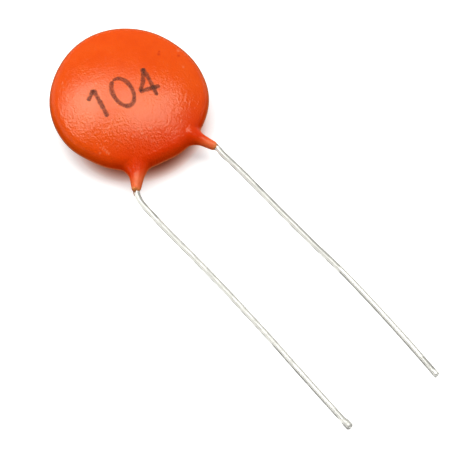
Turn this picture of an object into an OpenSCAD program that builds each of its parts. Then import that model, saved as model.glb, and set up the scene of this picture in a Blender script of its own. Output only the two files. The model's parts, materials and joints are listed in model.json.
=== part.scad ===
// Ceramic disc capacitor with two radial wire leads. It lies on a flat surface as it comes
// to rest: on the domed underside of its body and on the tips of its leads.
// X runs across the leads, -Y along them and Z up. The plane midway through the body also
// holds both leads, and all of it leans by rest_tilt so that the tips touch down.

/* [Body] */
// Diameter of the dipped body
body_d = 13; // [10:0.1:16]
// Thickness of the dipped body at its centre
body_t = 4.2; // [3.4:0.1:5.2]
// Thickness of the coating around the ceramic's edge
edge_coat = 1; // [0.8:0.05:1.3]
// Thickness of the coating over a lead where it crosses the ceramic's edge
crossing_coat = 0.2; // [0.16:0.01:0.3]

/* [Necks of the coating] */
// Distance between the leads where they come out of the coating
lead_pitch = 7.5; // [6:0.1:9]
// How far beyond the body's rim the coating follows each lead
neck_reach = 1.9; // [1.6:0.1:2.6]
// Angle of each neck outwards from the body's own axis
neck_splay = 31; // [24:1:36]
// Thickness of the coating around the lead at the end of the neck
neck_tip_coat = 0.09; // [0.06:0.01:0.15]
// Angle by which each side of the neck widens towards the body
neck_taper = 10; // [6:1:14]
// Radius of the flare that joins the neck to the rim, seen from above
flare_r = 0.85; // [0.6:0.05:1.1]
// Radius of the fillet that joins the neck to the rim, seen from the side
saddle_r = 3; // [2:0.1:4]
// Thickness of the neck at the low point of that fillet
saddle_t = 1; // [0.9:0.05:1.2]

/* [Leads] */
// Diameter of the lead wire
wire_d = 0.5; // [0.4:0.01:0.62]
// Radius of the bend, along the wire's centre, where a lead comes out of the coating
exit_bend_r = 2.2; // [1.5:0.1:3]
// How far inside the end of the neck that bend starts
exit_bend_lead = 0.4; // [0:0.05:0.5]
// Radius of the slight bend part way along a lead
kink_r = 8; // [4:1:12]
// Left lead: angle from the body's own axis before the slight bend
left_lean = 10; // [0:0.1:14]
// Left lead: length before the slight bend
left_run = 9.5; // [5:0.1:14]
// Left lead: angle from the body's own axis after the slight bend
left_end_lean = 8.2; // [0:0.1:14]
// Left lead: length after the slight bend
left_end_run = 15.8; // [8:0.1:20]
// Right lead: angle from the body's own axis before the slight bend
right_lean = 12; // [0:0.1:14]
// Right lead: length before the slight bend
right_run = 14.5; // [5:0.1:18]
// Right lead: angle from the body's own axis after the slight bend
right_end_lean = 8; // [0:0.1:14]
// Right lead: length after the slight bend
right_end_run = 11.2; // [8:0.1:20]

/* [Inside] */
// Thickness of the ceramic disc
ceramic_t = 0.5; // [0.4:0.05:0.8]
// Thickness of the fired silver on each face
silver_t = 0.05; // [0.04:0.01:0.1]
// Bare ring of ceramic around the silver
silver_margin = 0.35; // [0.2:0.05:0.6]
// Solder between the silver and the lead
solder_film = 0.04; // [0.03:0.01:0.08]
// Solder over the lead
solder_cover = 0.2; // [0.1:0.05:0.3]
// Width of the solder on the silver
solder_w = 2; // [1.6:0.1:2.4]
// Length of the solder on the silver
solder_len = 6; // [4:0.1:6.4]
// How far inside the solder's far end the lead stops
lead_end_cover = 0.7; // [0.5:0.1:1.2]
// Angle of the step that takes a lead from the body's middle up to a face
step_angle = 30; // [24:1:36]
// Radius of the two bends of that step, along the wire's centre
step_bend_r = 0.6; // [0.4:0.05:0.8]
// Gap between the end of that step and the ceramic's edge, along the lead
step_clear = 0.15; // [0.1:0.05:0.3]

/* [Hidden] */
$fn = 72;
LEFT = -1;
RIGHT = 1;
FRONT = 1;
BACK = -1;

// A bend is this much thinner than the straight wire, and laps this far into it
bend_thinning = 0.002;
bend_lap = 0.02;

wire_r = wire_d / 2;
body_r = body_d / 2;
half_t = body_t / 2;
ceramic_r = body_r - edge_coat;

// Heights above the body's middle plane, on either face
silver_z = ceramic_t / 2;
solder_z = silver_z + silver_t;
seat_z = solder_z + solder_film + wire_r;
solder_top = seat_z + wire_r + solder_cover;

// The rim is as thick as the stack that crosses the ceramic's edge, and the dome is tangent to it
rim_r = seat_z + wire_r + crossing_coat;
rim_c = body_r - rim_r;
dome_r = (rim_c ^ 2 + half_t ^ 2 - rim_r ^ 2) / (2 * (half_t - rim_r));
dome_drop = dome_r - half_t;

// Where each lead leaves the coating, and how its neck's axis passes the body's centre
exit_x = lead_pitch / 2;
exit_y = -sqrt((body_r + neck_reach) ^ 2 - exit_x ^ 2);
centre_run = exit_x * sin(neck_splay) - exit_y * cos(neck_splay);
centre_miss = exit_x * cos(neck_splay) + exit_y * sin(neck_splay);

// Runs along a lead, measured inwards from its exit
edge_run = centre_run - sqrt(ceramic_r ^ 2 - centre_miss ^ 2);
slant_len = (seat_z - 2 * step_bend_r * (1 - cos(step_angle))) / sin(step_angle);
step_len = 2 * step_bend_r * sin(step_angle) + slant_len * cos(step_angle);
step_start = edge_run - step_clear - step_len;
seat_len = centre_run + solder_len / 2 - lead_end_cover - step_start - step_len;

// The flare and the saddle cut this far into the rim, so that they meet it at an edge
rim_bite = 0.06;

// The flare's centre, from the neck's end and its axis: its circle is tangent to the neck's
// tapered side and, on the side towards the other neck, almost tangent to the rim
tip_r = wire_r + neck_tip_coat;
flare_reach = body_r + flare_r - rim_bite;
flare_side = tip_r + flare_r / cos(neck_taper) - centre_miss;
flare_run = centre_run - flare_side * tan(neck_taper);
flare_rest = flare_side ^ 2 + centre_run ^ 2 - flare_reach ^ 2;
flare_y = (flare_run - sqrt(flare_run ^ 2 - flare_rest / cos(neck_taper) ^ 2)) * cos(neck_taper) ^ 2;
flare_x = flare_side + centre_miss + flare_y * tan(neck_taper);
root_r = flare_x - (flare_x - centre_miss) * flare_r / flare_reach;
waist_r = flare_x - flare_r * cos(neck_taper);
waist_y = flare_y + flare_r * sin(neck_taper);
neck_depth = neck_reach + rim_r;

// The saddle: the side view's fillet between the rim and the neck
saddle_z = saddle_t / 2 + saddle_r;
saddle_x = rim_c + sqrt((rim_r + saddle_r - rim_bite) ^ 2 - saddle_z ^ 2);
skirt_r = body_r + 2 * neck_reach;

// The tip of each lead in the body's middle plane
function heading(lean) = [sin(lean), -cos(lean)];
function sweep_shift(from, to, radius) =
    sign(to - from) * radius * [cos(from) - cos(to), sin(from) - sin(to)];
function tip(side, lean, run_len, end_lean, end_run) =
    [side * exit_x, exit_y] - exit_bend_lead * heading(side * neck_splay)
    + sweep_shift(side * neck_splay, lean, exit_bend_r)
    + run_len * heading(lean) + sweep_shift(lean, end_lean, kink_r) + end_run * heading(end_lean);
left_tip = tip(LEFT, left_lean, left_run, left_end_lean, left_end_run);
right_tip = tip(RIGHT, right_lean, right_run, right_end_lean, right_end_run);

// The lean that brings the farther tip down to the surface, with the dome resting on it
tip_reach = -min(left_tip.y, right_tip.y);
touch_z = dome_drop + wire_r;
rest_tilt = asin(dome_r / norm([touch_z, tip_reach])) - atan2(touch_z, tip_reach);
rest_z = dome_r - dome_drop * cos(rest_tilt);
mid_x = (max(body_r, left_tip.x + wire_r, right_tip.x + wire_r) - body_r) / 2;
mid_y = (rim_c * cos(rest_tilt) + rim_r - tip_reach * cos(rest_tilt)) / 2;

// Lays what is drawn in the body's own frame down as it rests
module at_rest() {
    translate([-mid_x, -mid_y, rest_z]) rotate([rest_tilt, 0, 0]) children();
}

// Turns what is drawn inwards along +Z from the origin onto a lead's neck
module on_neck(side) {
    translate([side * exit_x, exit_y, 0]) rotate([-90, 0, side * neck_splay]) children();
}

// A straight length of wire along +Z, and what follows it
module run(length) {
    cylinder(r = wire_r, h = length);
    translate([0, 0, length]) children();
}

// A bend of the wire out of +Z towards the side at that angle from +X, and what follows it.
// The bend is a hair thinner than the straight wire and laps into it at both ends.
module turn(angle, radius, towards) {
    lap = bend_lap / radius * 180 / PI;
    rotate([0, 0, towards]) translate([radius, 0, 0]) {
        rotate([90, 0, 180]) rotate([0, 0, -lap]) rotate_extrude(angle = angle + 2 * lap)
            translate([radius, 0]) circle(r = wire_r - bend_thinning);
        rotate([0, angle, 0]) translate([-radius, 0, 0]) rotate([0, 0, -towards]) children();
    }
}

// A bend in the body's middle plane, from one lean to another
module sweep(from, to, radius) {
    turn(abs(to - from), radius, to > from ? 0 : 180) children();
}

// A lead: out of its neck to the tip, and in up the step to its soldered end
module lead(side, face, lean, run_len, end_lean, end_run) {
    on_neck(side) translate([0, 0, exit_bend_lead]) {
        rotate([180, 0, 0]) sweep(side * neck_splay, lean, exit_bend_r)
            run(run_len) sweep(lean, end_lean, kink_r) run(end_run);
        run(step_start - exit_bend_lead) turn(step_angle, step_bend_r, -90 * face)
            run(slant_len) turn(step_angle, step_bend_r, 90 * face) run(seat_len);
    }
}

module lead_left() {
    color("silver") at_rest()
        lead(LEFT, BACK, left_lean, left_run, left_end_lean, left_end_run);
}

module lead_right() {
    color("silver") at_rest()
        lead(RIGHT, FRONT, right_lean, right_run, right_end_lean, right_end_run);
}

module ceramic_disc() {
    color("tan") at_rest() translate([0, 0, -silver_z]) cylinder(r = ceramic_r, h = ceramic_t);
}

module silver(face) {
    low = face == FRONT ? silver_z : -solder_z;
    translate([0, 0, low]) cylinder(r = ceramic_r - silver_margin, h = silver_t);
}

module silver_front() {
    color("gainsboro") at_rest() silver(FRONT);
}

module silver_back() {
    color("gainsboro") at_rest() silver(BACK);
}

// Solder over a lead: a round-ended bar that stands out of the silver by less than its radius
module solder_bar(side, face) {
    height = solder_top - solder_z;
    bar_r = ((solder_w / 2) ^ 2 + height ^ 2) / (2 * height);
    core_len = solder_len - solder_w;
    bar_z = solder_top - bar_r;
    intersection() {
        translate([0, 0, face * bar_z]) on_neck(side) translate([0, 0, centre_run - core_len / 2]) {
            cylinder(r = bar_r, h = core_len);
            sphere(r = bar_r);
            translate([0, 0, core_len]) sphere(r = bar_r);
        }
        translate([0, 0, face == FRONT ? solder_z : -solder_z - height])
            cylinder(r = ceramic_r, h = height);
    }
}

module solder_front() {
    color("darkgray") difference() {
        at_rest() solder_bar(RIGHT, FRONT);
        lead_right();
    }
}

module solder_back() {
    color("darkgray") difference() {
        at_rest() solder_bar(LEFT, BACK);
        lead_left();
    }
}

// Half the section of the domed body, to the right of its axis
module body_section() {
    intersection() {
        translate([0, -dome_drop]) circle(r = dome_r, $fn = 240);
        translate([0, dome_drop]) circle(r = dome_r, $fn = 240);
        translate([0, -half_t]) square([rim_c, body_t]);
    }
    intersection() {
        translate([rim_c, 0]) circle(r = rim_r);
        translate([rim_c, -rim_r]) square([rim_r, 2 * rim_r]);
    }
}

// A disc that thins from the rim to the saddle, which gives the necks their height
module skirt() {
    rotate_extrude() difference() {
        translate([0, -rim_r]) square([skirt_r, 2 * rim_r]);
        for (face = [FRONT, BACK])
            translate([saddle_x, face * saddle_z]) circle(r = saddle_r, $fn = 180);
        for (face = [0, 1])
            mirror([0, face]) translate([saddle_x, saddle_t / 2]) square([skirt_r, rim_r]);
    }
}

// A neck seen from above, as a turned trumpet around its lead
module trumpet() {
    rotate_extrude() difference() {
        square([root_r, neck_depth]);
        translate([flare_x, flare_y]) circle(r = flare_r);
        polygon([[tip_r, 0], [waist_r, waist_y], [flare_x, flare_y], [flare_x, 0]]);
    }
}

module coating() {
    color("orangered") difference() {
        at_rest() {
            rotate_extrude() body_section();
            for (side = [LEFT, RIGHT]) intersection() {
                on_neck(side) trumpet();
                skirt();
            }
        }
        ceramic_disc();
        silver_front();
        silver_back();
        solder_front();
        solder_back();
        lead_left();
        lead_right();
    }
}

coating();
ceramic_disc();
silver_front();
silver_back();
solder_front();
solder_back();
lead_left();
lead_right();
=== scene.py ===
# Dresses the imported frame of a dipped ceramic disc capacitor: the resin body with its two necks,
# the tinned leads, the stamped value, and the white table it lies on.
import json
import math
import bmesh
import bpy
import numpy as np
from mathutils import Matrix, Vector

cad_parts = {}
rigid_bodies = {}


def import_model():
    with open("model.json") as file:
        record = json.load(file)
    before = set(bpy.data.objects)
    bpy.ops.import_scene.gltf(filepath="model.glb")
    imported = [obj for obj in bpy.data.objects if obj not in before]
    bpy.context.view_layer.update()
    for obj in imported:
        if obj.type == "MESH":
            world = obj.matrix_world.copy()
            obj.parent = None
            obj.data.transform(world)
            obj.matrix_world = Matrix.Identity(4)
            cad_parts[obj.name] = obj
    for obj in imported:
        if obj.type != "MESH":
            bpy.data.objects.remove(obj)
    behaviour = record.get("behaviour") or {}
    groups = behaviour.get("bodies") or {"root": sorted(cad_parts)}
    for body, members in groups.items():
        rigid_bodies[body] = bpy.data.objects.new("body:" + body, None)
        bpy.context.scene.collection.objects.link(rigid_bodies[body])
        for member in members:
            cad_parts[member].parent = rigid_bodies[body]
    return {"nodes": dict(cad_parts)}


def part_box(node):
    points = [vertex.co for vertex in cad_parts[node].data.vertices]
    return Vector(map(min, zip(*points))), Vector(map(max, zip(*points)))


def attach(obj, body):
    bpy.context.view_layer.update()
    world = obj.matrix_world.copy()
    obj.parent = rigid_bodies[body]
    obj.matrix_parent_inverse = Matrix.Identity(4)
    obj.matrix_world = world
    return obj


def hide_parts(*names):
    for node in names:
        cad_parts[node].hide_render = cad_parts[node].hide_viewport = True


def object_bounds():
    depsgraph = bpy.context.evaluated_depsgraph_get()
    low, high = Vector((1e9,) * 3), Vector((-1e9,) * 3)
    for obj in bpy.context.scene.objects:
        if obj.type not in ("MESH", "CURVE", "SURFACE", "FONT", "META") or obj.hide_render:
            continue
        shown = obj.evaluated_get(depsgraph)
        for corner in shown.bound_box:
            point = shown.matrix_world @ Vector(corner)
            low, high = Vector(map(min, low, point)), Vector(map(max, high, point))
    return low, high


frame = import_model()
cadLow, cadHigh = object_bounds()
mm = 0.001

# Lengths in the dictionaries are in mm, unless a note says otherwise
wire = {
    "radius": 0.25,
    "pitch": 7.5,          # between the leads where they leave the resin
    "ringStep": 0.07,      # between two rings of the mesh
    "segments": 28,
    "lumps": 0.010,        # how far the tin's thickness varies
    "longLump": 2.6,       # a long swelling and a short one on it
    "shortLump": 0.9,
    "lumpRing": 1.3,       # radius at which they are read: more of it, more change round the wire
    "seed": 11,
}

# The body's own frame, in mm: x across the leads, -y along them, z out of the marked face.
# The ceramic disc is centred on it, and the left lead's tip shows how far it leans.
discLow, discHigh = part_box("ceramic_disc")
bodyCentre = (discLow + discHigh) / 2
leftLow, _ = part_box("lead_left")
restTilt = math.atan2(bodyCentre.z - wire["radius"] * mm, bodyCentre.y - leftLow.y)
bodyToRow = Matrix.Translation(bodyCentre) @ Matrix.Rotation(restTilt, 4, "X") @ Matrix.Scale(mm, 4)
print("frame loaded, body leans", round(math.degrees(restTilt), 2), "degrees")


# A smooth mesh from points in the body's own frame
def addMesh(name, points, faces, material, normals=None, uvs=None):
    matrix = np.array(bodyToRow)
    placed = np.asarray(points) @ matrix[:3, :3].T + matrix[:3, 3]
    mesh = bpy.data.meshes.new(name)
    mesh.from_pydata(placed.tolist(), [], [tuple(map(int, f)) for f in faces])
    mesh.materials.append(material)
    mesh.polygons.foreach_set("use_smooth", [True] * len(mesh.polygons))
    if uvs is not None:
        layer = mesh.uv_layers.new(name="along")
        loops = np.zeros(len(mesh.loops), np.int32)
        mesh.loops.foreach_get("vertex_index", loops)
        layer.data.foreach_set("uv", np.asarray(uvs, np.float32)[loops].ravel())
    mesh.update()
    if normals is not None:
        turned = np.asarray(normals) @ (matrix[:3, :3].T / mm)
        mesh.normals_split_custom_set_from_vertices(turned.tolist())
    piece = bpy.data.objects.new(name, mesh)
    bpy.context.scene.collection.objects.link(piece)
    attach(piece, "root")
    return piece


def unit(vectors):
    return vectors / np.linalg.norm(vectors, axis=-1, keepdims=True)


def smoothStep(low, high, value):
    share = np.clip((value - low) / (high - low), 0, 1)
    return share * share * (3 - 2 * share)


# Even waves in fixed random directions, for surfaces that are never quite true
def ripples(points, seed, wavelength, count=14):
    rng = np.random.default_rng(seed)
    total = np.zeros(len(points))
    for _ in range(count):
        direction = unit(rng.normal(size=points.shape[1]))
        direction = direction * 2 * math.pi / (wavelength * rng.uniform(0.6, 1.6))
        total += np.sin(points @ direction + rng.uniform(0, 2 * math.pi))
    return total / math.sqrt(count / 2)


# The resin is one skin round a pillow and two necks, found where a distance to them is zero
coating = {
    "radius": (discHigh.x - discLow.x) / 2 / mm + 1.0,   # the ceramic and the resin round its edge
    "halfThickness": 2.075,
    "rimRadius": 1.04,
    # places where the outline isn't round: azimuth, how far out, half width in degrees
    "swells": [(130, -0.10, 26), (86, 0.09, 24), (20, -0.07, 22), (-27, 0.13, 18),
               (-93, -0.20, 13), (-125, -0.12, 16), (-150, -0.17, 14)],
    "swellFrom": 2.5,      # the swells fade out towards the middle, over these radii
    "swellTo": 5.5,
    "unevenness": 0.010,
    "unevenSize": 5.0,
    "unevenSeed": 5,
    "gridStep": 0.1,
    "gridMargin": 0.4,     # round the rim
    "gridReach": -8.2,     # past the necks' tips
    "gridHeight": 2.5,
    "fineCuts": 2,         # of each edge near the necks: so far in from the tip, and so far round
    "fineLength": 2.2,
    "fineRadius": 0.95,
}

# Scuffs and specks on the marked face: across and up from the body's middle, and their radius
marks = {
    "pale": [(5.63, 1.43, 0.20), (5.11, -0.22, 0.13), (-1.11, -3.42, 0.12), (-0.86, -3.67, 0.12),
             (-1.03, -3.88, 0.13), (-0.83, -4.30, 0.11), (-0.28, -3.74, 0.10), (-0.16, -3.85, 0.10),
             (-4.33, -3.25, 0.12), (-4.28, -3.47, 0.13), (-4.22, -3.69, 0.13), (-4.14, -3.88, 0.11),
             (-4.73, -3.44, 0.12)],
    "dark": [(3.93, 1.72, 0.20), (4.10, 1.95, 0.14), (5.35, 0.95, 0.18), (-2.62, -4.35, 0.10)],
}
markCore = 0.3             # share of a mark's radius that has its full colour

necks = {
    "reach": 1.9,          # beyond the rim
    "length": 3.2,
    "tipRound": 0.26,
    "thinFrom": -0.05,     # the resin is thin and brown up to here, and full colour from the next
    "thinTo": 0.32,
    "thinRadius": 0.8,
    "rise": 0.22,          # of the neck's middle line towards its lead's face, between these runs
    "riseFrom": 0.6,
    "riseTo": 3.0,
    # waves of the tip's edge: depth and how many round the wire
    "ragged": (0.05, 2),
    "fineRagged": (0.03, 5),
    "sideBlend": 0.5,      # further out or in, only one side's fillet counts
    # where the fillet ends inside the body, and how much of its reach is lost there
    "sunkFrom": 1.5,
    "sunkTo": 3.1,
    "sunkLoss": 0.8,
    # a bead of resin on the left neck: back from its tip, out, up, and its radius
    "bead": (0.12, 0.17, 0.31, 0.21),
    "beadFillet": 0.08,
    # side and face the lead is on, degrees of splay, tip beside the drawn exit, radius at the
    # tip and its growth per mm, reach of the fillets between the necks and outside them, and a
    # tongue of resin down the wire: its length and where it is round the wire
    "left": {"side": -1, "face": -1, "splay": 33, "shift": (0.03, -0.02), "tipRadius": 0.345,
             "taper": 0.20, "inner": 0.90, "outer": 1.0, "tongue": 0.30, "tongueTurn": -8},
    "right": {"side": 1, "face": 1, "splay": 31, "shift": (0.24, 0.125), "tipRadius": 0.345,
              "taper": 0.09, "inner": 0.95, "outer": 0.55, "tongue": 0.10, "tongueTurn": -25},
}


# Where a neck ends, and its directions inwards and away from the other neck
def neckAxis(neck):
    exitX = wire["pitch"] / 2
    exitY = -math.sqrt((coating["radius"] + necks["reach"]) ** 2 - exitX ** 2)
    start = np.array([neck["side"] * exitX + neck["shift"][0], exitY + neck["shift"][1], 0.0])
    splay = math.radians(neck["splay"])
    inward = np.array([-neck["side"] * math.sin(splay), math.cos(splay), 0.0])
    outward = np.array([neck["side"] * math.cos(splay), math.sin(splay), 0.0])
    return start, inward, outward


def pillowDistance(points):
    x, y, z = points.T
    azimuth = np.degrees(np.arctan2(y, x))
    reach = np.hypot(x, y)
    swell = np.zeros(len(points))
    for at, height, width in coating["swells"]:
        off = (azimuth - at + 180) % 360 - 180
        swell += height * np.exp(-(off / width) ** 2)
    reach = reach - swell * smoothStep(coating["swellFrom"], coating["swellTo"], reach)
    rimRadius = coating["rimRadius"]
    rimCentre = coating["radius"] - rimRadius
    half = coating["halfThickness"]
    domeRadius = (rimCentre ** 2 + half ** 2 - rimRadius ** 2) / (2 * (half - rimRadius))
    domeDrop = domeRadius - half
    height = np.abs(z)
    onRim = reach * domeDrop > rimCentre * (height + domeDrop)
    rim = np.hypot(reach - rimCentre, height) - rimRadius
    dome = np.hypot(reach, height + domeDrop) - domeRadius
    return np.where(onRim, rim, dome)


# The nearer of two distances, with a fillet of that reach between them
def blendMin(a, b, width):
    overlap = np.clip(width - np.abs(a - b), 0, None) / width
    return np.minimum(a, b) - overlap * overlap * width / 4


def neckDistance(points, neck):
    start, inward, outward = neckAxis(neck)
    offset = points - start
    along = np.clip(offset @ inward, 0, necks["length"])
    centre = start + along[:, None] * inward
    rise = smoothStep(necks["riseFrom"], necks["riseTo"], along)
    centre[:, 2] += neck["face"] * necks["rise"] * rise
    side = np.linalg.norm(points - centre, axis=1) - (neck["tipRadius"] + neck["taper"] * along)
    around = np.arctan2(offset[:, 2], offset @ outward)
    (depth, waves), (fineDepth, fineWaves) = necks["ragged"], necks["fineRagged"]
    ragged = depth * np.sin(around * waves + 0.6)
    ragged = ragged + fineDepth * np.sin(around * fineWaves + neck["side"])
    end = -(offset @ inward) + ragged
    return -blendMin(-side, -end, necks["tipRound"])


def coatingDistance(points):
    uneven = ripples(points, coating["unevenSeed"], coating["unevenSize"])
    distance = pillowDistance(points) - coating["unevenness"] * uneven
    for neck in (necks["left"], necks["right"]):
        start, inward, outward = neckAxis(neck)
        side = necks["sideBlend"]
        outer = smoothStep(-side, side, (points - start) @ outward)
        sunk = smoothStep(necks["sunkFrom"], necks["sunkTo"], (points - start) @ inward)
        width = neck["inner"] + (neck["outer"] - neck["inner"]) * outer
        width = width * (1 - necks["sunkLoss"] * sunk)
        distance = blendMin(distance, neckDistance(points, neck), width)
    start, inward, outward = neckAxis(necks["left"])
    back, out, high, radius = necks["bead"]
    centre = start + back * inward + out * outward + np.array([0, 0, high])
    bead = np.linalg.norm(points - centre, axis=1) - radius
    return blendMin(distance, bead, necks["beadFillet"])


# The distance's gradient, from two samples along each axis
def slope(distance, points, reach=0.004):
    parts = []
    for axis in range(3):
        step = np.zeros(3)
        step[axis] = reach
        parts.append((distance(points + step) - distance(points - step)) / (2 * reach))
    return np.stack(parts, 1)


# Moves the points onto the surface
def settle(distance, points, rounds=4):
    for _ in range(rounds):
        gradient = slope(distance, points)
        size = np.maximum((gradient ** 2).sum(1), 0.05)
        points = points - (distance(points) / size)[:, None] * gradient
    return points


# A vertex in each grid cell that the surface passes, and a face across each grid edge that it cuts
def skinOf(distance, low, high, step):
    axes = [np.arange(a, b + step, step) for a, b in zip(low, high)]
    grid = np.stack(np.meshgrid(*axes, indexing="ij"), -1)
    values = distance(grid.reshape(-1, 3)).reshape(grid.shape[:3])
    inside = values < 0
    shape = np.array(values.shape)
    corners = [np.array(c) for c in np.ndindex(2, 2, 2)]

    def corner(array, c):
        return array[tuple(slice(c[k], shape[k] - 1 + c[k]) for k in range(3))]

    filled = sum(corner(inside, c).astype(int) for c in corners)
    mixed = (filled > 0) & (filled < 8)
    index = np.full(mixed.shape, -1)
    index[mixed] = np.arange(mixed.sum())
    total = np.zeros(mixed.shape + (3,))
    count = np.zeros(mixed.shape)
    for a in corners:
        for axis in range(3):
            if a[axis]:
                continue
            b = a.copy()
            b[axis] = 1
            valueA, valueB = corner(values, a), corner(values, b)
            cut = (valueA < 0) != (valueB < 0)
            share = np.where(cut, valueA / np.where(cut, valueA - valueB, 1), 0)
            spot = np.broadcast_to(a.astype(float), total.shape).copy()
            spot[..., axis] += share
            total += np.where(cut[..., None], spot, 0)
            count += cut
    cells = np.argwhere(mixed)
    points = np.array(low) + step * (cells + total[mixed] / count[mixed][:, None])
    faces = []
    for axis in range(3):
        u, v = (axis + 1) % 3, (axis + 2) % 3
        lower = [slice(None)] * 3
        upper = [slice(None)] * 3
        lower[axis], upper[axis] = slice(0, -1), slice(1, None)
        edgeCut = inside[tuple(lower)] != inside[tuple(upper)]
        at = np.argwhere(edgeCut)
        for across in (u, v):
            at = at[(at[:, across] > 0) & (at[:, across] < shape[across] - 1)]
        stepU, stepV = np.eye(3, dtype=int)[u], np.eye(3, dtype=int)[v]
        ring = ((1, 1), (0, 1), (0, 0), (1, 0))
        quads = np.stack([index[tuple((at - du * stepU - dv * stepV).T)] for du, dv in ring], 1)
        outwards = inside[tuple(at.T)]
        quads[~outwards] = quads[~outwards][:, ::-1]
        faces.append(quads)
    return points, np.concatenate(faces)


# Splits the faces near the necks, where the shapes are small
def refineNecks(points, faces):
    net = bmesh.new()
    verts = [net.verts.new(p) for p in points]
    for face in faces:
        net.faces.new([verts[i] for i in face])
    near = np.zeros(len(points), bool)
    for neck in (necks["left"], necks["right"]):
        start, inward, _ = neckAxis(neck)
        offset = points - start
        along = np.clip(offset @ inward, 0, coating["fineLength"])
        beside = np.linalg.norm(offset - along[:, None] * inward, axis=1)
        near |= beside < coating["fineRadius"]
    net.verts.index_update()
    chosen = [e for e in net.edges if near[e.verts[0].index] and near[e.verts[1].index]]
    bmesh.ops.subdivide_edges(net, edges=chosen, cuts=coating["fineCuts"], use_grid_fill=True)
    bmesh.ops.triangulate(net, faces=[f for f in net.faces if len(f.verts) > 4])
    net.verts.index_update()
    newPoints = np.array([v.co[:] for v in net.verts])
    newFaces = [[v.index for v in f.verts] for f in net.faces]
    net.free()
    return newPoints, newFaces


def startMaterial(name):
    material = bpy.data.materials.new(name)
    material.use_nodes = True
    nodes = material.node_tree.nodes
    return material, nodes, material.node_tree.links, nodes["Principled BSDF"]


def noiseNode(nodes, links, coordinates, size, detail=2.0, roughness=0.5, stretch=(1, 1, 1)):
    mapping = nodes.new("ShaderNodeMapping")
    mapping.inputs["Scale"].default_value = [s / (size * mm) for s in stretch]
    links.new(coordinates, mapping.inputs["Vector"])
    texture = nodes.new("ShaderNodeTexNoise")
    texture.inputs["Scale"].default_value = 1.0
    texture.inputs["Detail"].default_value = detail
    texture.inputs["Roughness"].default_value = roughness
    links.new(mapping.outputs["Vector"], texture.inputs["Vector"])
    return texture.outputs["Fac"]


def rampNode(nodes, links, source, stops):
    ramp = nodes.new("ShaderNodeValToRGB")
    elements = ramp.color_ramp.elements
    while len(elements) < len(stops):
        elements.new(0.5)
    for element, (position, colour) in zip(elements, stops):
        element.position = position
        element.color = (*colour, 1)
    links.new(source, ramp.inputs["Fac"])
    return ramp.outputs["Color"]


def mapNode(nodes, links, source, fromLow, fromHigh, toLow, toHigh):
    node = nodes.new("ShaderNodeMapRange")
    node.inputs["From Min"].default_value = fromLow
    node.inputs["From Max"].default_value = fromHigh
    node.inputs["To Min"].default_value = toLow
    node.inputs["To Max"].default_value = toHigh
    links.new(source, node.inputs["Value"])
    return node.outputs["Result"]


# The second socket or colour laid over the first by the share
def mixNode(nodes, links, share, first, second):
    node = nodes.new("ShaderNodeMix")
    node.data_type = "RGBA"
    links.new(share, node.inputs[0])
    for socket, value in ((node.inputs[6], first), (node.inputs[7], second)):
        if isinstance(value, tuple):
            socket.default_value = (*value, 1)
        else:
            links.new(value, socket)
    return node.outputs[2]


def attributeNode(nodes, name):
    node = nodes.new("ShaderNodeAttribute")
    node.attribute_name = name
    return node.outputs["Fac"]


# Either side may be a node's output or a plain number
def mathNode(nodes, links, operation, first, second):
    node = nodes.new("ShaderNodeMath")
    node.operation = operation
    for socket, value in zip(node.inputs, (first, second)):
        if isinstance(value, (int, float)):
            socket.default_value = value
        else:
            links.new(value, socket)
    return node.outputs[0]


def bumpNode(nodes, links, height, distance, strength=1.0, before=None):
    node = nodes.new("ShaderNodeBump")
    if isinstance(strength, float):
        node.inputs["Strength"].default_value = strength
    else:
        links.new(strength, node.inputs["Strength"])
    node.inputs["Distance"].default_value = distance * mm
    links.new(height, node.inputs["Height"])
    if before is not None:
        links.new(before, node.inputs["Normal"])
    return node.outputs["Normal"]


# Stretches run from and to, in mm past the body's middle, with the leads towards minus
resin = {
    "deep": (0.93, 0.082, 0.003),
    "usual": (0.98, 0.096, 0.004),
    "light": (0.99, 0.110, 0.006),
    "paintedShade": (0.88, 0.028, 0.0006),   # painted shade: deeper, darker red below the ceramic towards the leads, on the side away from the lamps
    "paintedShadeShare": 0.72,
    "paintedShadeStretch": (-2.2, -5.8),
    "paintedShadeEnd": (-6.0, -6.9),
    "paintedShadeRest": 0.1,                 # how much is left beyond its end
    "neck": (0.97, 0.19, 0.065),       # down the necks, where it's thinner
    "neckShare": 0.70,
    "neckStretch": (-6.3, -7.0),
    "thin": (0.92, 0.31, 0.085),       # at the necks' tips
    "pale": (1.0, 0.19, 0.065),        # scuffs
    "dark": (0.78, 0.055, 0.003),      # specks
    # painted reflection: a tan line where it's seen edge on, browner at the far side and brighter
    # towards the leads
    "farRimReflection": (0.58, 0.22, 0.10),
    "nearRimReflection": (0.98, 0.33, 0.13),
    "rimReflectionStretch": (1.0, -4.0),
    "rimReflectionShare": 0.80,
    "rimReflectionFacing": (0.50, 0.82),
    "tint": (1.0, 0.95, 0.72),         # of the sheen
    "patchSize": 1.6,
    "peelSize": 0.21,       # of the orange-peel skin
    "peelDepth": 0.032,
    "pimpleSize": 0.12,
    "pimpleDepth": 0.016,
    "roughness": (0.10, 0.17),
    "neckRoughness": 0.38,
    "roughStretch": (-5.4, -6.6),
    # the sheen fades where the skin turns down towards the rim, and where it's seen edge on
    "shine": 0.47,
    "edgeShine": 0.0,
    "shineUpright": (0.55, 0.86),
    "shineFacing": (0.26, 0.56),
}


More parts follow.
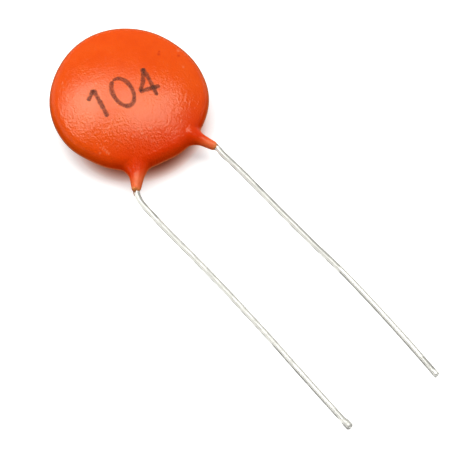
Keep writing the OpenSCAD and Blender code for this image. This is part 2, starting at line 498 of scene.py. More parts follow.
def resinMaterial():
    material, nodes, links, shader = startMaterial("dippedResin")
    where = nodes.new("ShaderNodeTexCoord").outputs["Object"]
    split = nodes.new("ShaderNodeSeparateXYZ")
    links.new(where, split.inputs["Vector"])

    def along(stretch, first, last):
        start, end = (bodyCentre.y + at * mm for at in stretch)
        return mapNode(nodes, links, split.outputs["Y"], start, end, first, last)

    patches = noiseNode(nodes, links, where, resin["patchSize"], 4, 0.6)
    colour = rampNode(nodes, links, patches,
                      [(0.25, resin["deep"]), (0.50, resin["usual"]), (0.78, resin["light"])])
    # Painted shade: the skin turns deeper and darker red towards the leads, and this ends before
    # the necks
    paintedShade = along(resin["paintedShadeStretch"], 0.0, resin["paintedShadeShare"])
    ended = along(resin["paintedShadeEnd"], 1.0, resin["paintedShadeRest"])
    paintedShade = mathNode(nodes, links, "MULTIPLY", paintedShade, ended)
    colour = mixNode(nodes, links, paintedShade, colour, resin["paintedShade"])
    downNeck = along(resin["neckStretch"], 0.0, resin["neckShare"])
    colour = mixNode(nodes, links, downNeck, colour, resin["neck"])
    for kind in ("thin", "pale", "dark"):
        colour = mixNode(nodes, links, attributeNode(nodes, kind), colour, resin[kind])
    facing = nodes.new("ShaderNodeLayerWeight").outputs["Facing"]
    # Painted reflection: the colour turns tan where the skin is seen edge on, brighter towards the
    # leads
    near = along(resin["rimReflectionStretch"], 0.0, 1.0)
    edge = mixNode(nodes, links, near, resin["farRimReflection"], resin["nearRimReflection"])
    rimReflectionShare = mapNode(nodes, links, facing, *resin["rimReflectionFacing"], 0.0, resin["rimReflectionShare"])
    links.new(mixNode(nodes, links, rimReflectionShare, colour, edge), shader.inputs["Base Color"])

    peel = noiseNode(nodes, links, where, resin["peelSize"], 1.5, 0.5)
    pimples = noiseNode(nodes, links, where, resin["pimpleSize"], 1, 0.5)
    onNecks = along(resin["roughStretch"], 0.0, resin["neckRoughness"])
    skinRoughness = mapNode(nodes, links, peel, 0.3, 0.7, *resin["roughness"])
    links.new(mathNode(nodes, links, "MAXIMUM", skinRoughness, onNecks), shader.inputs["Roughness"])
    peeled = mapNode(nodes, links, patches, 0.40, 0.60, 0.35, 1.0)
    skin = bumpNode(nodes, links, peel, resin["peelDepth"], peeled)
    skin = bumpNode(nodes, links, pimples, resin["pimpleDepth"], before=skin)
    links.new(skin, shader.inputs["Normal"])

    upright = nodes.new("ShaderNodeSeparateXYZ")
    links.new(nodes.new("ShaderNodeTexCoord").outputs["Normal"], upright.inputs["Vector"])
    dim, bright = resin["edgeShine"], resin["shine"]
    level = mapNode(nodes, links, upright.outputs["Z"], *resin["shineUpright"], dim, bright)
    faced = mapNode(nodes, links, facing, *resin["shineFacing"], bright, dim)
    links.new(mathNode(nodes, links, "MINIMUM", level, faced), shader.inputs["Specular IOR Level"])
    shader.inputs["Specular Tint"].default_value = (*resin["tint"], 1)
    shader.inputs["IOR"].default_value = 1.5
    return material


tin = {
    "colour": (0.95, 0.95, 0.905),
    "dull": (0.88, 0.88, 0.83),
    # painted shade: the dark, dull lines along the wire's outline and at its tip
    "edgeShade": (0.25, 0.25, 0.235),
    "fullEdgeShade": 0.7,              # from this share on, the painted edge shade isn't metallic
    "metallic": 0.80,
    "roughness": (0.48, 0.64),
    "shine": (0.5, 0.06),          # clean and under the painted edge shade
    "patchSize": 0.60,
    "patchStretch": (1, 0.35, 1),
    "rippleSize": 0.30,
    "rippleStretch": (1, 0.3, 1),
    "rippleDepth": 0.012,
}


def tinMaterial():
    material, nodes, links, shader = startMaterial("tinnedWire")
    where = nodes.new("ShaderNodeTexCoord").outputs["Object"]
    patches = noiseNode(nodes, links, where, tin["patchSize"], 3, 0.6, stretch=tin["patchStretch"])
    clean = rampNode(nodes, links, patches, [(0.3, tin["dull"]), (0.6, tin["colour"])])
    # Painted shade and dark reflection: a share kept per vertex darkens and dulls the tin along the
    # wire's outline and at its tip
    edgeShades = attributeNode(nodes, "edgeShade")
    links.new(mixNode(nodes, links, edgeShades, clean, tin["edgeShade"]), shader.inputs["Base Color"])
    roughness = mapNode(nodes, links, patches, 0.3, 0.7, *tin["roughness"])
    links.new(roughness, shader.inputs["Roughness"])
    full = tin["fullEdgeShade"]
    metallic = mapNode(nodes, links, edgeShades, 0.0, full, tin["metallic"], 0.0)
    links.new(metallic, shader.inputs["Metallic"])
    shine = mapNode(nodes, links, edgeShades, 0.0, full, *tin["shine"])
    links.new(shine, shader.inputs["Specular IOR Level"])
    waves = noiseNode(nodes, links, where, tin["rippleSize"], 3, 0.55, stretch=tin["rippleStretch"])
    links.new(bumpNode(nodes, links, waves, tin["rippleDepth"]), shader.inputs["Normal"])
    return material


film = {
    "dark": (0.30, 0.10, 0.035),
    "light": (0.55, 0.24, 0.09),
    "patchSize": 0.12,
    "roughness": 0.3,
    "length": 0.14,
    "thickness": 0.012,
    "tongueThickness": 0.035,      # more, where a tongue runs down the wire
    "tongueWidth": 0.16,
    "hidden": 0.25,                # how far up inside the neck it starts
    "rows": 10,
    "segments": 40,
}


def filmMaterial():
    material, nodes, links, shader = startMaterial("thinResinFilm")
    where = nodes.new("ShaderNodeTexCoord").outputs["Object"]
    patches = noiseNode(nodes, links, where, film["patchSize"], 2)
    colour = rampNode(nodes, links, patches, [(0.3, film["dark"]), (0.7, film["light"])])
    links.new(colour, shader.inputs["Base Color"])
    shader.inputs["Roughness"].default_value = film["roughness"]
    return material


ink = {
    "colour": (0.17, 0.058, 0.032),
    "faded": (0.22, 0.062, 0.030),
    "roughness": 0.55,
    "shine": 0.12,
    "blotSize": 0.42,
    "grainSize": 0.10,
    "softEdge": (1.0, 0.45),       # from the stroke's edge in, as shares of its half width
    "grain": (0.55, 1.0),          # how much of the ink is left, at the least and the most
    "wear": (0.52, 0.76),
}


def inkMaterial():
    material, nodes, links, shader = startMaterial("stampInk")
    coordinates = nodes.new("ShaderNodeTexCoord")
    where = coordinates.outputs["Object"]
    blots = noiseNode(nodes, links, where, ink["blotSize"], 3, 0.6)
    colour = rampNode(nodes, links, blots, [(0.35, ink["faded"]), (0.6, ink["colour"])])
    links.new(colour, shader.inputs["Base Color"])
    shader.inputs["Roughness"].default_value = ink["roughness"]
    shader.inputs["Specular IOR Level"].default_value = ink["shine"]
    split = nodes.new("ShaderNodeSeparateXYZ")
    links.new(coordinates.outputs["UV"], split.inputs["Vector"])
    edge = mapNode(nodes, links, split.outputs["Y"], *ink["softEdge"], 0.0, 1.0)
    fine = noiseNode(nodes, links, where, ink["grainSize"], 2)
    grain = mapNode(nodes, links, fine, 0.30, 0.62, *ink["grain"])
    wear = mapNode(nodes, links, blots, 0.30, 0.60, *ink["wear"])
    left = mathNode(nodes, links, "MULTIPLY", edge, grain)
    links.new(mathNode(nodes, links, "MULTIPLY", left, wear), shader.inputs["Alpha"])
    return material


# A plain finish for what the resin hides
def plainMaterial(name, dark, light, roughness, metallic, size):
    material, nodes, links, shader = startMaterial(name)
    where = nodes.new("ShaderNodeTexCoord").outputs["Object"]
    grain = noiseNode(nodes, links, where, size, 3)
    colour = rampNode(nodes, links, grain, [(0.35, dark), (0.65, light)])
    links.new(colour, shader.inputs["Base Color"])
    links.new(bumpNode(nodes, links, grain, size * 0.05), shader.inputs["Normal"])
    shader.inputs["Roughness"].default_value = roughness
    shader.inputs["Metallic"].default_value = metallic
    return material


# Headings are a lead's directions beyond the resin: how far from its exit, and degrees from -y
# towards +x. Shade streaks are painted shade and dark reflection, dull grey along the wire's
# outline
# and at its tip: degrees round the wire, half their width, how far out they start and end,
# strength, and how broken.
leads = {
    "left": {
        "start": (-3.67, -7.52),
        "headings": [(0, -26), (0.4, -12), (0.9, -2), (1.4, 7), (2.4, 9.6), (4.2, 9.8), (5.6, 11.3),
                     (7.5, 11.0), (10, 10.3), (12.4, 9.0), (16, 8.8), (19, 7.4), (22, 8.0),
                     (25, 8.2), (26.9, 9.2)],
        "endRound": 0.16,
        "endSwell": 0.060,
        "burr": 0.0,
        "shadeStreaks": [(126, 52, 0.1, 3.2, 0.8, 0.4), (112, 50, 3.2, 20.0, 0.45, 0.5),
                    (134, 44, 20.0, 25.0, 0.45, 0.5), (126, 62, 25.0, 27.4, 0.55, 0.2),
                    (-6, 34, 1.2, 17.5, 0.85, 0.75), (0, 44, 17.5, 25.8, 1.0, 0.4),
                    (-30, 84, 26.35, 27.4, 0.75, 0.0)],
    },
    "right": {
        "start": (3.96, -7.29),
        "headings": [(0, 20), (0.25, 8), (0.6, 5), (1.0, 12), (1.3, 15), (1.6, 13.6), (2.9, 11.2),
                     (4.7, 10.1), (8.2, 10.6), (11.2, 11.5), (13.7, 12.8), (15.4, 11.0),
                     (16.7, 9.2), (19.2, 8.5), (22.2, 7.8), (24.2, 6.9), (26.9, 6.6)],
        "endRound": 0.035,
        "endSwell": 0.008,
        "burr": 0.05,
        "shadeStreaks": [(124, 58, 0.2, 14.8, 0.8, 0.3), (138, 42, 14.8, 25.0, 0.5, 0.7),
                    (124, 62, 25.0, 26.5, 0.85, 0.2), (-6, 32, 0.6, 15.0, 0.9, 0.85),
                    (2, 44, 15.0, 26.8, 0.9, 0.3), (90, 400, 26.95, 27.4, 0.85, 0.0)],
    },
    "smoothing": 9,         # rings that each direction is averaged over
    "swellFrom": 0.9,       # back from the cut end
    "swellTo": 0.35,
    "endRings": 6,
    "endShares": (0.6, 0.25),
    "endDome": 0.012,
    "burrSide": 0.5,        # radians round the end
    "burrOut": 0.015,
    "streakCore": 0.35,     # share of a streak's half width that is full
    "streakFade": 0.2,
    "breakSize": 1.0,       # of the breaks in a streak, and the radius at which they are read
    "breakRing": 0.9,
    # inside the resin: from the exit to the step up to the ceramic's face, the step, and its seat
    "stepStart": 1.42,
    "stepLength": 1.34,
    "seatHeight": 0.59,
    "seatLength": 7.9,
}


# The wire's middle line, from its inner end to its cut end
def leadPath(name):
    neck = necks[name]
    inward = neckAxis(neck)[1]
    start = np.array([*leads[name]["start"], 0.0])
    table = np.array(leads[name]["headings"])
    length = table[-1, 0]
    stations = np.arange(0, length + wire["ringStep"] / 2, wire["ringStep"])
    angles = np.radians(np.interp(stations, table[:, 0], table[:, 1]))
    window = leads["smoothing"]
    kernel = np.hanning(window) / np.hanning(window).sum()
    ends = [np.full(window // 2, angle) for angle in (angles[0], angles[-1])]
    angles = np.convolve(np.concatenate([ends[0], angles, ends[1]]), kernel, "valid")
    steps = np.stack([np.sin(angles), -np.cos(angles), np.zeros_like(angles)], 1) * wire["ringStep"]
    outside = start + np.cumsum(steps, 0)
    inner = leads["stepStart"] + leads["stepLength"] + leads["seatLength"]
    back = np.arange(inner, wire["ringStep"] / 2, -wire["ringStep"] * 2)
    climb = smoothStep(leads["stepStart"], leads["stepStart"] + leads["stepLength"], back)
    inside = start + back[:, None] * inward
    inside[:, 2] += neck["face"] * leads["seatHeight"] * climb
    return np.concatenate([inside, [start], outside])


# Quads between each ring of vertices and the next
def tubeFaces(rings, count):
    faces = []
    for i in range(rings - 1):
        for j in range(count):
            k = (j + 1) % count
            faces.append((i * count + j, i * count + k, (i + 1) * count + k, (i + 1) * count + j))
    return faces


# How much painted shade each vertex of the rings has, along the wire's outline and at its tip
def leadEdgeShades(name, run, rings, turn):
    facts = leads[name]
    exitRun = run[-1] - facts["headings"][-1][0]
    fade = leads["streakFade"]
    circle = leads["breakRing"] * np.cos(turn), leads["breakRing"] * np.sin(turn)
    shades = []
    for i in range(rings):
        at = run[min(i, len(run) - 1)] - exitRun
        spots = np.stack([np.full(len(turn), at), *circle], 1)
        wave = ripples(spots, wire["seed"] + 3 * len(name), leads["breakSize"], 20)
        wave = np.clip(0.45 + 0.7 * wave, 0, 1)
        ring = np.zeros(len(turn))
        for middle, width, low, high, strength, broken in facts["shadeStreaks"]:
            off = np.abs((np.degrees(turn) - middle + 180) % 360 - 180)
            band = 1 - smoothStep(leads["streakCore"], 1.0, off / width)
            held = smoothStep(low - fade, low + fade, at)
            held = held * (1 - smoothStep(high - fade, high + fade, at))
            shade = np.clip(strength * band * held * (1 - broken * (1 - wave)), 0, 1)
            ring = np.maximum(ring, shade)
        shades.append(ring)
    return np.concatenate(shades)


# The last rings close the cut end: each draws in by the rounding's circle
def makeLead(name, material):
    path = leadPath(name)
    facts = leads[name]
    run = np.concatenate([[0], np.cumsum(np.linalg.norm(np.diff(path, axis=0), axis=1))])
    tangent = unit(np.gradient(path, axis=0))
    up = np.array([0.0, 0.0, 1.0])
    sideways = unit(np.cross(tangent, up))
    upwards = np.cross(sideways, tangent)
    turn = np.linspace(0, 2 * math.pi, wire["segments"], endpoint=False)
    count = len(turn)
    ring = wire["lumpRing"]
    points = []
    for i in range(len(path)):
        spot = np.stack([np.full(count, run[i]), ring * np.cos(turn), ring * np.sin(turn)], 1)
        lumps = ripples(spot, wire["seed"] + len(name), wire["longLump"])
        lumps = lumps + 0.6 * ripples(spot, wire["seed"], wire["shortLump"])
        radius = wire["radius"] - wire["lumps"] * (0.55 - 0.25 * np.clip(lumps, -2, 2))
        swell = smoothStep(run[-1] - leads["swellFrom"], run[-1] - leads["swellTo"], run[i])
        radius = radius + facts["endSwell"] * swell
        circle = np.cos(turn)[:, None] * sideways[i] + np.sin(turn)[:, None] * upwards[i]
        last = path[i] + up * (radius.max() - wire["radius"]).clip(0)
        points.append(last + circle * radius[:, None])
    roundness = facts["endRound"]
    for angle in np.linspace(0, math.pi / 2, leads["endRings"])[1:]:
        centre = last + tangent[-1] * roundness * math.sin(angle)
        draw = roundness * (1 - math.cos(angle))
        points.append(centre + circle * (radius - draw)[:, None])
    face = last + tangent[-1] * roundness
    for share in leads["endShares"]:
        dome = tangent[-1] * leads["endDome"] * (1 - share)
        points.append(face + circle * ((radius - roundness) * share)[:, None] + dome)
    if facts["burr"]:
        low = np.clip(-np.sin(turn - leads["burrSide"]), 0, 1) ** 6
        pulled = tangent[-1] * facts["burr"] + circle * leads["burrOut"]
        for i in (-5, -4, -3):
            points[i] = points[i] + low[:, None] * pulled
    rings = len(points)
    faces = tubeFaces(rings, count)
    verts = np.concatenate([*points, [path[0]], [points[-1].mean(0)]])
    firstCap, lastCap = rings * count, rings * count + 1
    base = (rings - 1) * count
    for j in range(count):
        k = (j + 1) % count
        faces.append((firstCap, k, j))
        faces.append((lastCap, base + j, base + k))
    lead = addMesh("tinnedLead" + name.capitalize(), verts, faces, material)
    # Painted shade along the wire's outline and at its tip, kept per vertex
    edgeShade = np.concatenate([leadEdgeShades(name, run, rings, turn), [0, 0]])
    lead.data.attributes.new("edgeShade", "FLOAT", "POINT").data.foreach_set("value", edgeShade)
    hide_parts("lead_" + name)


# The thin ragged edge of resin that creeps down the wire past the neck's end
def makeFilm(name, material):
    neck = necks[name]
    path = leadPath(name)
    inward = neckAxis(neck)[1]
    start = np.array([*leads[name]["start"], 0.0])
    first = int(np.argmin(np.linalg.norm(path - start, axis=1)))
    tangent = unit(np.gradient(path, axis=0))
    turn = np.linspace(0, 2 * math.pi, film["segments"], endpoint=False)
    off = np.cos(turn - math.radians(neck["tongueTurn"])) - 1
    tongue = np.exp(-(off / film["tongueWidth"]) ** 2)
    wander = 0.05 * np.sin(turn * 3 + neck["side"]) + 0.035 * np.sin(turn * 7 + 1)
    reach = film["length"] + neck["tongue"] * tongue + wander
    rows, hidden = film["rows"], film["hidden"]
    points = []
    for row in range(rows + 1):
        share = row / rows
        for j, angle in enumerate(turn):
            s = -hidden + (hidden + reach[j]) * share
            if s < 0:
                centre, along = start - inward * s, -inward
            else:
                at = min(first + s / wire["ringStep"], len(path) - 2)
                i = int(at)
                centre = path[i] + (path[i + 1] - path[i]) * (at - i)
                along = tangent[i]
            side = unit(np.cross(along, np.array([0.0, 0.0, 1.0])))
            upward = np.cross(side, along)
            thickness = film["thickness"] + film["tongueThickness"] * tongue[j]
            radius = wire["radius"] + 0.001 + thickness * math.sqrt(max(1 - share ** 4, 0))
            points.append(centre + radius * (math.cos(angle) * side + math.sin(angle) * upward))
    faces = tubeFaces(rows + 1, len(turn))
    piece = addMesh("resinEdge" + name.capitalize(), points, faces, material)


# The stamped value: each stroke is a thin ribbon laid on the marked face
stamp = {
    "height": 2.75,
    "width": 1.75,
    "stroke": 0.46,
    "lift": 0.006,
    "centre": (-0.57, -0.06),
    "pitch": 2.12,
    "turn": -4.0,          # degrees
    "step": 0.06,
    "endRound": 0.16,
    "wobble": 0.10,        # of a stroke's width, and a finer one
    "fineWobble": 0.06,
    "seed": 30,
    # where a ribbon's rows of vertices lie across it
    "across": (-1, -0.75, -0.45, 0, 0.45, 0.75, 1),
    # each digit's strokes, in shares of its width and height from its middle
    "one": [[(-0.40, 0.24), (-0.16, 0.36), (0.06, 0.50)],
            [(0.06, 0.50), (0.05, 0.0), (0.04, -0.50)]],
    "zero": (0.46, 0.485),
    "zeroStart": 1.9,      # radians
    "four": [[(0.22, 0.48), (-0.12, 0.04), (-0.47, -0.22)],
             [(-0.50, -0.22), (0.0, -0.24), (0.52, -0.27)],
             [(0.22, 0.48), (0.20, 0.0), (0.17, -0.53)]],
}


# A stroke through its corners, in steps of the stamp's own
def strokeLine(corners):
    corners = np.array(corners, float)
    run = np.concatenate([[0], np.cumsum(np.linalg.norm(np.diff(corners, axis=0), axis=1))])
    stations = np.linspace(0, run[-1], max(4, int(run[-1] / (stamp["step"] / stamp["height"]))))
    return np.stack([np.interp(stations, run, corners[:, k]) for k in range(2)], 1)


def ovalLine(count=64):
    angle = np.linspace(0, 2 * math.pi, count) + stamp["zeroStart"]
    width, height = stamp["zero"]
    return np.stack([width * np.cos(angle), height * np.sin(angle)], 1)


# Lays flat points on the resin, straight above or below where they are
def onTopFace(flat):
    points = np.concatenate([flat, np.full((len(flat), 1), coating["halfThickness"])], 1)
    for _ in range(6):
        points[:, 2] -= coatingDistance(points)
    return points


# One digit, with each stroke a little above the one before it
def makeDigit(name, strokes, place, material, seed):
    rng = np.random.default_rng(seed)
    turn = math.radians(stamp["turn"])
    spin = np.array([[math.cos(turn), -math.sin(turn)], [math.sin(turn), math.cos(turn)]])
    shares = np.array(stamp["across"])
    width = len(shares)
    verts, faces, uvs = [], [], []
    for number, line in enumerate(strokes):
        line = line * [stamp["width"], stamp["height"]] + [place, 0]
        line = line @ spin.T + np.array(stamp["centre"])
        along = unit(np.gradient(line, axis=0))
        across = np.stack([-along[:, 1], along[:, 0]], 1)
        run = np.linspace(0, len(line) * stamp["step"], len(line))
        wobble = 1 + stamp["wobble"] * np.sin(run * 5 + rng.uniform(0, 6))
        wobble = wobble + stamp["fineWobble"] * np.sin(run * 13 + rng.uniform(0, 6))
        fromEnd = np.clip(np.minimum(run, run[-1] - run) / stamp["endRound"], 0, 1)
        ends = np.sqrt(np.clip(1 - (1 - fromEnd) ** 2, 0.02, 1))
        half = stamp["stroke"] / 2 * wobble * ends
        flat = line[:, None, :] + across[:, None, :] * (shares[None, :, None] * half[:, None, None])
        laid = onTopFace(flat.reshape(-1, 2))
        laid[:, 2] += stamp["lift"] * (1 + 0.5 * number)
        base = sum(len(v) for v in verts)
        verts.append(laid)
        for i in range(len(line) - 1):
            for j in range(width - 1):
                a = base + i * width + j
                faces.append((a, a + 1, a + width + 1, a + width))
        uvs.append(np.stack([np.repeat(run, width), np.tile(np.abs(shares), len(line))], 1))
    piece = addMesh(name, np.concatenate(verts), faces, material, uvs=np.concatenate(uvs))


def makeStamp(material):
    digits = [
        ("stampOne", [strokeLine(corners) for corners in stamp["one"]]),
        ("stampZero", [ovalLine()]),
        ("stampFour", [strokeLine(corners) for corners in stamp["four"]]),
    ]
    for number, (name, strokes) in enumerate(digits):
        makeDigit(name, strokes, (number - 1) * stamp["pitch"], material, stamp["seed"] + number)


# A glow takes the paper to full white away from the body; close to it the glow fades and turns
# brown, which paints the body's shadow on the paper. The camera sees it whole and the tin mirrors
# part of it, and it lights nothing else.
table = {
    "halfSize": 1.5,                # m
    "gap": 0.02,                    # below the part
    "colour": (0.60, 0.595, 0.59),
    "paintedBounce": (0.56, 0.26, 0.14),     # painted bounce light: the paper close to the resin is warmed as if lit by it
    # distance from the glow's middle, with its strength or its tint there
    "glow": [(4.4, 0.06), (5.0, 0.26), (5.7, 0.55), (6.3, 0.62), (7.8, 0.95)],
    "glowTint": [(4.4, (1.0, 0.32, 0.17)), (5.0, (1.0, 0.60, 0.49)), (5.7, (1.0, 0.88, 0.85)),
                 (6.3, (1.0, 1.0, 1.0))],
    "glowSquash": 1.11,
    "glowMiddle": (0.05, -1.6),     # beside the body's middle
    "mirrored": 0.75,               # how much of the glow the tin shows
}


def makeTable():
    net = bmesh.new()
    bmesh.ops.create_grid(net, x_segments=8, y_segments=8, size=table["halfSize"])
    mesh = bpy.data.meshes.new("whiteTable")
    net.to_mesh(mesh)
    net.free()
    floor = bpy.data.objects.new("whiteTable", mesh)
    bpy.context.scene.collection.objects.link(floor)
    floor.location.z = cadLow.z - table["gap"] * mm
    material, nodes, links, shader = startMaterial("whitePaper")
    shader.inputs["Roughness"].default_value = 1.0
    shader.inputs["Specular IOR Level"].default_value = 0.0
    glow = nodes.new("ShaderNodeEmission")
    path = nodes.new("ShaderNodeLightPath")
    squashed = nodes.new("ShaderNodeMapping")
    links.new(nodes.new("ShaderNodeTexCoord").outputs["Object"], squashed.inputs["Vector"])
    besideX, besideY = table["glowMiddle"]
    glowX, glowY = bodyCentre.x + besideX * mm, bodyCentre.y + besideY * mm
    squash = table["glowSquash"]
    squashed.inputs["Scale"].default_value = (1, squash, 1)
    squashed.inputs["Location"].default_value = (-glowX, -glowY * squash, 0)
    away = nodes.new("ShaderNodeVectorMath")
    away.operation = "LENGTH"
    links.new(squashed.outputs["Vector"], away.inputs[0])
    first, last = table["glow"][0][0], table["glow"][-1][0]
    out = mapNode(nodes, links, away.outputs["Value"], first * mm, last * mm, 0.0, 1.0)
    # Painted bounce light: the paper's colour turns warm close to the body
    paper = rampNode(nodes, links, out, [(0.0, table["paintedBounce"]), (0.5, table["colour"])])
    links.new(paper, shader.inputs["Base Color"])
    greys = [((at - first) / (last - first), (g, g, g)) for at, g in table["glow"]]
    tints = [((at - first) / (last - first), tint) for at, tint in table["glowTint"]]
    # Painted shadow: the glow's weak, brown-tinted middle shapes and colours the shadow round the
    # body
    grown = rampNode(nodes, links, out, greys)
    links.new(rampNode(nodes, links, out, tints), glow.inputs["Color"])
    mirrored = mathNode(nodes, links, "MULTIPLY", path.outputs["Is Glossy Ray"], table["mirrored"])
    rays = mathNode(nodes, links, "MAXIMUM", path.outputs["Is Camera Ray"], mirrored)
    seen = mathNode(nodes, links, "MULTIPLY", rays, grown)
    links.new(seen, glow.inputs["Strength"])
    both = nodes.new("ShaderNodeAddShader")
    links.new(shader.outputs[0], both.inputs[0])
    links.new(glow.outputs[0], both.inputs[1])
    links.new(both.outputs[0], nodes["Material Output"].inputs["Surface"])
    mesh.materials.append(material)


# Softboxes, squared to the camera: middle and size in m as right, away from the camera and up,
# and brightness beside white's 1. Those overhead hang level, the side card faces the part.
lamps = [
    {"name": "leftSoftbox",
     "middle": (-0.45, 0.345, 1.0), "size": (0.50, 0.66), "brightness": 6.25},
    {"name": "rightSoftbox",
     "middle": (0.22, 0.27, 1.0), "size": (0.66, 0.56), "brightness": 5.0},
    {"name": "overheadScrim",
     "middle": (0.0, 0.45, 1.0), "size": (0.50, 0.90), "brightness": 0.6},
    {"name": "sideCard",
     "middle": (-0.95, -0.20, 0.32), "size": (0.50, 0.34), "brightness": 0.9},
]
lampColour = (1.0, 0.99, 0.955)


def addLamps():
    squared = Matrix.Rotation(math.radians(view["azimuth"]), 3, "Z")
    for facts in lamps:
        data = bpy.data.lights.new(facts["name"], "AREA")
        data.shape = "RECTANGLE"
        data.size, data.size_y = facts["size"]
        data.energy = math.pi * data.size * data.size_y * facts["brightness"]
        data.color = lampColour
        lamp = bpy.data.objects.new(facts["name"], data)
        bpy.context.scene.collection.objects.link(lamp)
        lamp.location = (cadLow + cadHigh) / 2 + squared @ Vector(facts["middle"])
        if facts["name"] == "sideCard":
            lamp.rotation_mode = "QUATERNION"
            lamp.rotation_quaternion = (squared @ Vector(facts["middle"])).to_track_quat("Z", "Y")
        else:
            lamp.rotation_euler.z = math.radians(view["azimuth"])


# Light round the table beside white's 1. The tin also mirrors the studio's pale walls: those on
# the left and behind, each over a stretch of directions and fading at its top. In front it's dark.
room = {
    "horizon": 0.14,
    "overhead": 0.12,
    "rise": (0.10, 0.85),
    "leftWall": 0.75,
    "leftStretch": (-0.35, -0.65),
    "leftTop": (0.30, 0.60),
    "backWall": 0.32,
    "backStretch": (-0.45, -0.20),
    "backTop": (0.20, 0.60),
    "backRest": 0.5,       # what is left of it above its top
}


def makeRoom():
    world = bpy.data.worlds.new("studio")
    bpy.context.scene.world = world
    world.use_nodes = True
    nodes, links = world.node_tree.nodes, world.node_tree.links
    background = nodes["Background"]
    squared = nodes.new("ShaderNodeMapping")
    squared.inputs["Rotation"].default_value = (0, 0, -math.radians(view["azimuth"]))
    links.new(nodes.new("ShaderNodeTexCoord").outputs["Generated"], squared.inputs["Vector"])
    split = nodes.new("ShaderNodeSeparateXYZ")
    links.new(squared.outputs["Vector"], split.inputs["Vector"])
    right, away, up = split.outputs
    greys = zip(room["rise"], (room["horizon"], room["overhead"]))
    grey = rampNode(nodes, links, up, [(at, (g, g, g)) for at, g in greys])
    leftSide = mapNode(nodes, links, right, *room["leftStretch"], 0.0, room["leftWall"])
    leftRise = mapNode(nodes, links, up, *room["leftTop"], 1.0, 0.0)
    backSide = mapNode(nodes, links, away, *room["backStretch"], 0.0, room["backWall"])
    backRise = mapNode(nodes, links, up, *room["backTop"], 1.0, room["backRest"])
    left = mathNode(nodes, links, "MULTIPLY", leftSide, leftRise)
    behind = mathNode(nodes, links, "MULTIPLY", backSide, backRise)
    walls = mathNode(nodes, links, "MAXIMUM", left, behind)
    mirrored = nodes.new("ShaderNodeBackground")
    links.new(walls, mirrored.inputs["Color"])
    white = nodes.new("ShaderNodeBackground")
    white.inputs["Color"].default_value = (1, 1, 1, 1)
    links.new(grey, background.inputs["Color"])
    path = nodes.new("ShaderNodeLightPath")
    last = background.outputs[0]
    for ray, shader in (("Is Glossy Ray", mirrored), ("Is Camera Ray", white)):
        choose = nodes.new("ShaderNodeMixShader")
        links.new(path.outputs[ray], choose.inputs["Fac"])
        links.new(last, choose.inputs[1])
        links.new(shader.outputs[0], choose.inputs[2])
        last = choose.outputs[0]
    links.new(last, nodes["World Output"].inputs["Surface"])


view = {
    "azimuth": -31.3,      # degrees
    "elevation": 61.0,
    "distance": 430.0,
    "fieldWidth": 38.47,
    "aim": (0.45, -0.87, 0.0),     # from the middle of the outline, on the table
}


def addCamera():
    data = bpy.data.cameras.new("camera")
    camera = bpy.data.objects.new("camera", data)
    bpy.context.scene.collection.objects.link(camera)
    azimuth, elevation = math.radians(view["azimuth"]), math.radians(view["elevation"])
    level = math.cos(elevation)
    back = Vector((math.sin(azimuth) * level, -math.cos(azimuth) * level, math.sin(elevation)))
    middle = (cadLow + cadHigh) / 2
    aim = Vector((middle.x, middle.y, cadLow.z)) + Vector(view["aim"]) * mm
    camera.location = aim + back * view["distance"] * mm
    camera.rotation_mode = "QUATERNION"
    camera.rotation_quaternion = back.to_track_quat("Z", "Y")
    data.sensor_width = 36.0
    data.lens = data.sensor_width * view["distance"] / view["fieldWidth"]
    data.clip_start, data.clip_end = 0.01, 10.0
    bpy.context.scene.camera = camera
    bpy.context.scene.view_settings.view_transform = "Standard"


# The pieces that the resin hides: dark and light of the grain, roughness, metal, grain size
hidden = {
    "firedCeramic": ((0.42, 0.30, 0.18), (0.55, 0.40, 0.26), 0.7, 0.0, 0.4),
    "firedSilver": ((0.66, 0.66, 0.64), (0.78, 0.78, 0.76), 0.5, 1.0, 0.3),
    "solder": ((0.50, 0.51, 0.52), (0.62, 0.63, 0.64), 0.3, 1.0, 0.5),
}


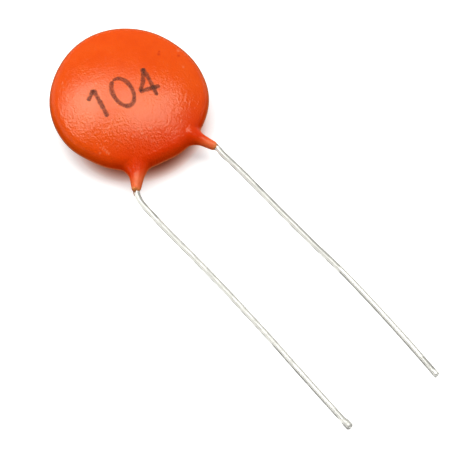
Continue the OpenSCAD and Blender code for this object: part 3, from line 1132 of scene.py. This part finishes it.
def finishHidden():
    finishes = {name: plainMaterial(name, *facts) for name, facts in hidden.items()}
    for node, finish in (("ceramic_disc", "firedCeramic"), ("silver_front", "firedSilver"),
                         ("silver_back", "firedSilver"), ("solder_front", "solder"),
                         ("solder_back", "solder")):
        mesh = frame["nodes"][node].data
        mesh.materials.clear()
        mesh.materials.append(finishes[finish])


# The skin carries a share per vertex for the thin ends of the necks and for each kind of mark
def makeBody(material):
    reach, high = coating["radius"] + coating["gridMargin"], coating["gridHeight"]
    corner, opposite = (-reach, coating["gridReach"], -high), (reach, reach, high)
    points, faces = skinOf(coatingDistance, corner, opposite, coating["gridStep"])
    points, faces = refineNecks(points, faces)
    points = settle(coatingDistance, points)
    normals = unit(slope(coatingDistance, points))
    body = addMesh("dippedBody", points, faces, material, normals=normals)
    shares = {"thin": np.zeros(len(points))}
    for neck in (necks["left"], necks["right"]):
        start, inward, _ = neckAxis(neck)
        along = (points - start) @ inward
        beside = np.linalg.norm(points - start - along[:, None] * inward, axis=1)
        bare = 1 - smoothStep(necks["thinFrom"], necks["thinTo"], along)
        shares["thin"] = np.maximum(shares["thin"], (beside < necks["thinRadius"]) * bare)
    for kind, spots in marks.items():
        shares[kind] = np.zeros(len(points))
        for x, y, radius in spots:
            apart = np.hypot(points[:, 0] - x, points[:, 1] - y) / radius
            marked = (points[:, 2] > 0) * (1 - smoothStep(markCore, 1.0, apart))
            shares[kind] = np.maximum(shares[kind], marked)
    for kind, share in shares.items():
        body.data.attributes.new(kind, "FLOAT", "POINT").data.foreach_set("value", share)
    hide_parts("coating")
    print("resin body:", len(faces), "faces")


resinSkin, tinSkin = resinMaterial(), tinMaterial()
filmSkin, inkSkin = filmMaterial(), inkMaterial()
finishHidden()
print("materials ready")
makeBody(resinSkin)
for name in ("left", "right"):
    makeLead(name, tinSkin)
    makeFilm(name, filmSkin)
print("leads ready")
makeStamp(inkSkin)
print("stamp ready")
makeTable()
addLamps()
makeRoom()
addCamera()
print("table, lamps and camera ready")
print("cad size", [round(v / mm, 3) for v in cadHigh - cadLow])
